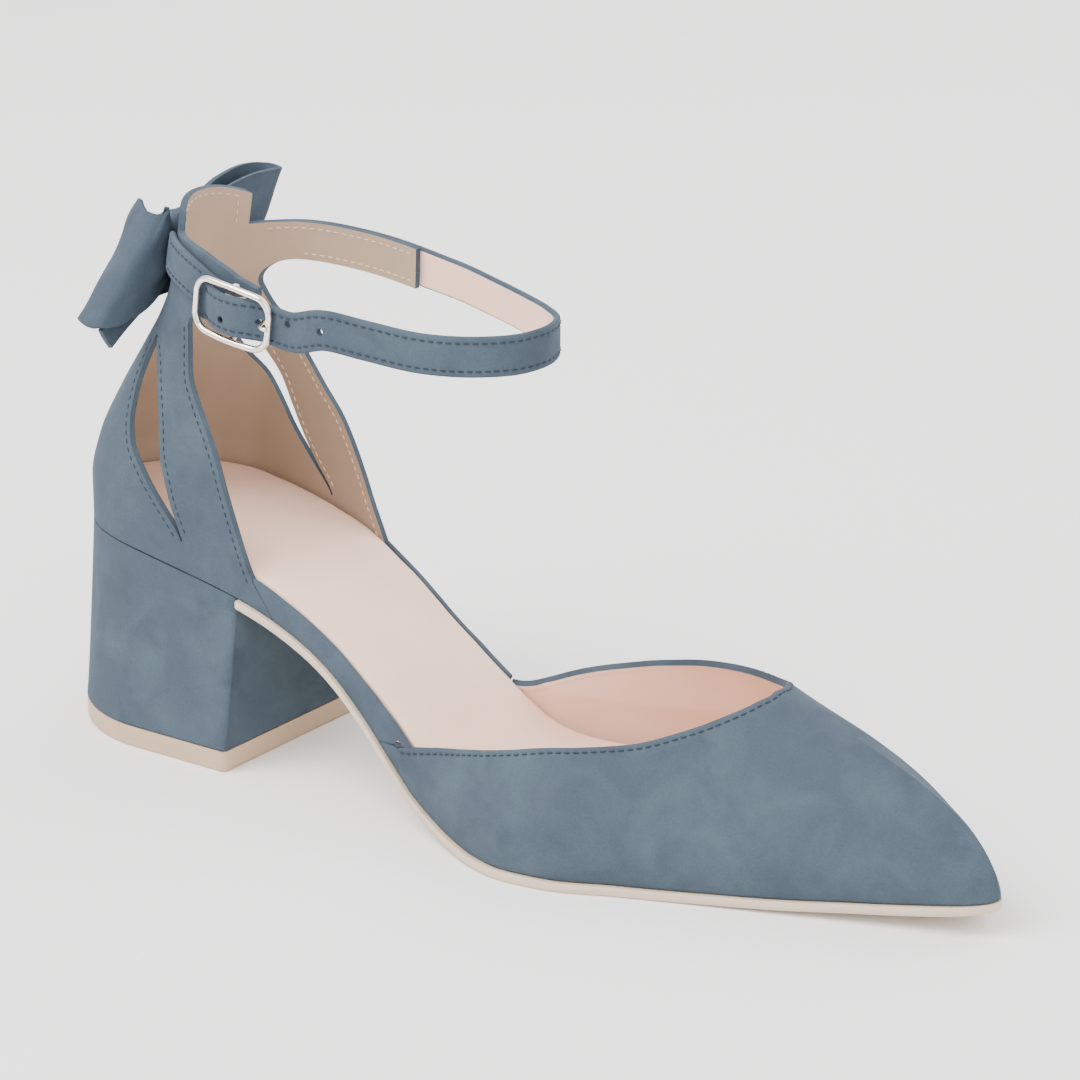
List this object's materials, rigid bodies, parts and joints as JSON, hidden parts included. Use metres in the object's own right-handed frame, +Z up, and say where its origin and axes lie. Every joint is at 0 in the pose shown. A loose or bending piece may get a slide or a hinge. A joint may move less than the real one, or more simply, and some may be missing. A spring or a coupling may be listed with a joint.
{
  "type": "high heel shoe",
  "caption": "Blue suede pointed high heel shoe, right foot, with an open waist, a buckled ankle strap, a ribbon bow behind and a covered block heel.",
  "frame": {"origin": "Origin on the floor, on the flat resting face of the top lift, under the middle of the heel seat.", "axes": "+X points to the toe, +Y to the medial side of the right foot, +Z up."},
  "size_m": [0.2517, 0.0837, 0.1306],
  "materials": {
    "blue_suede": "suede nap",
    "beige_sole": "matte",
    "pink_lining": "satin",
    "pale_gold": "polished"
  },
  "bodies": {
    "root": {"outsole": "beige_sole", "top_lift": "beige_sole", "heel_block": "blue_suede", "insole_board": "blue_suede", "sock": "pink_lining", "vamp": "blue_suede", "quarter": "blue_suede", "ankle_strap": "blue_suede", "buckle_strap": "blue_suede", "buckle_frame": "pale_gold", "buckle_prong": "pale_gold", "bow_loop_lateral": "blue_suede", "bow_loop_medial": "blue_suede", "bow_tail_lateral": "blue_suede", "bow_tail_medial": "blue_suede", "bow_knot": "blue_suede"}
  },
  "joints": []
}
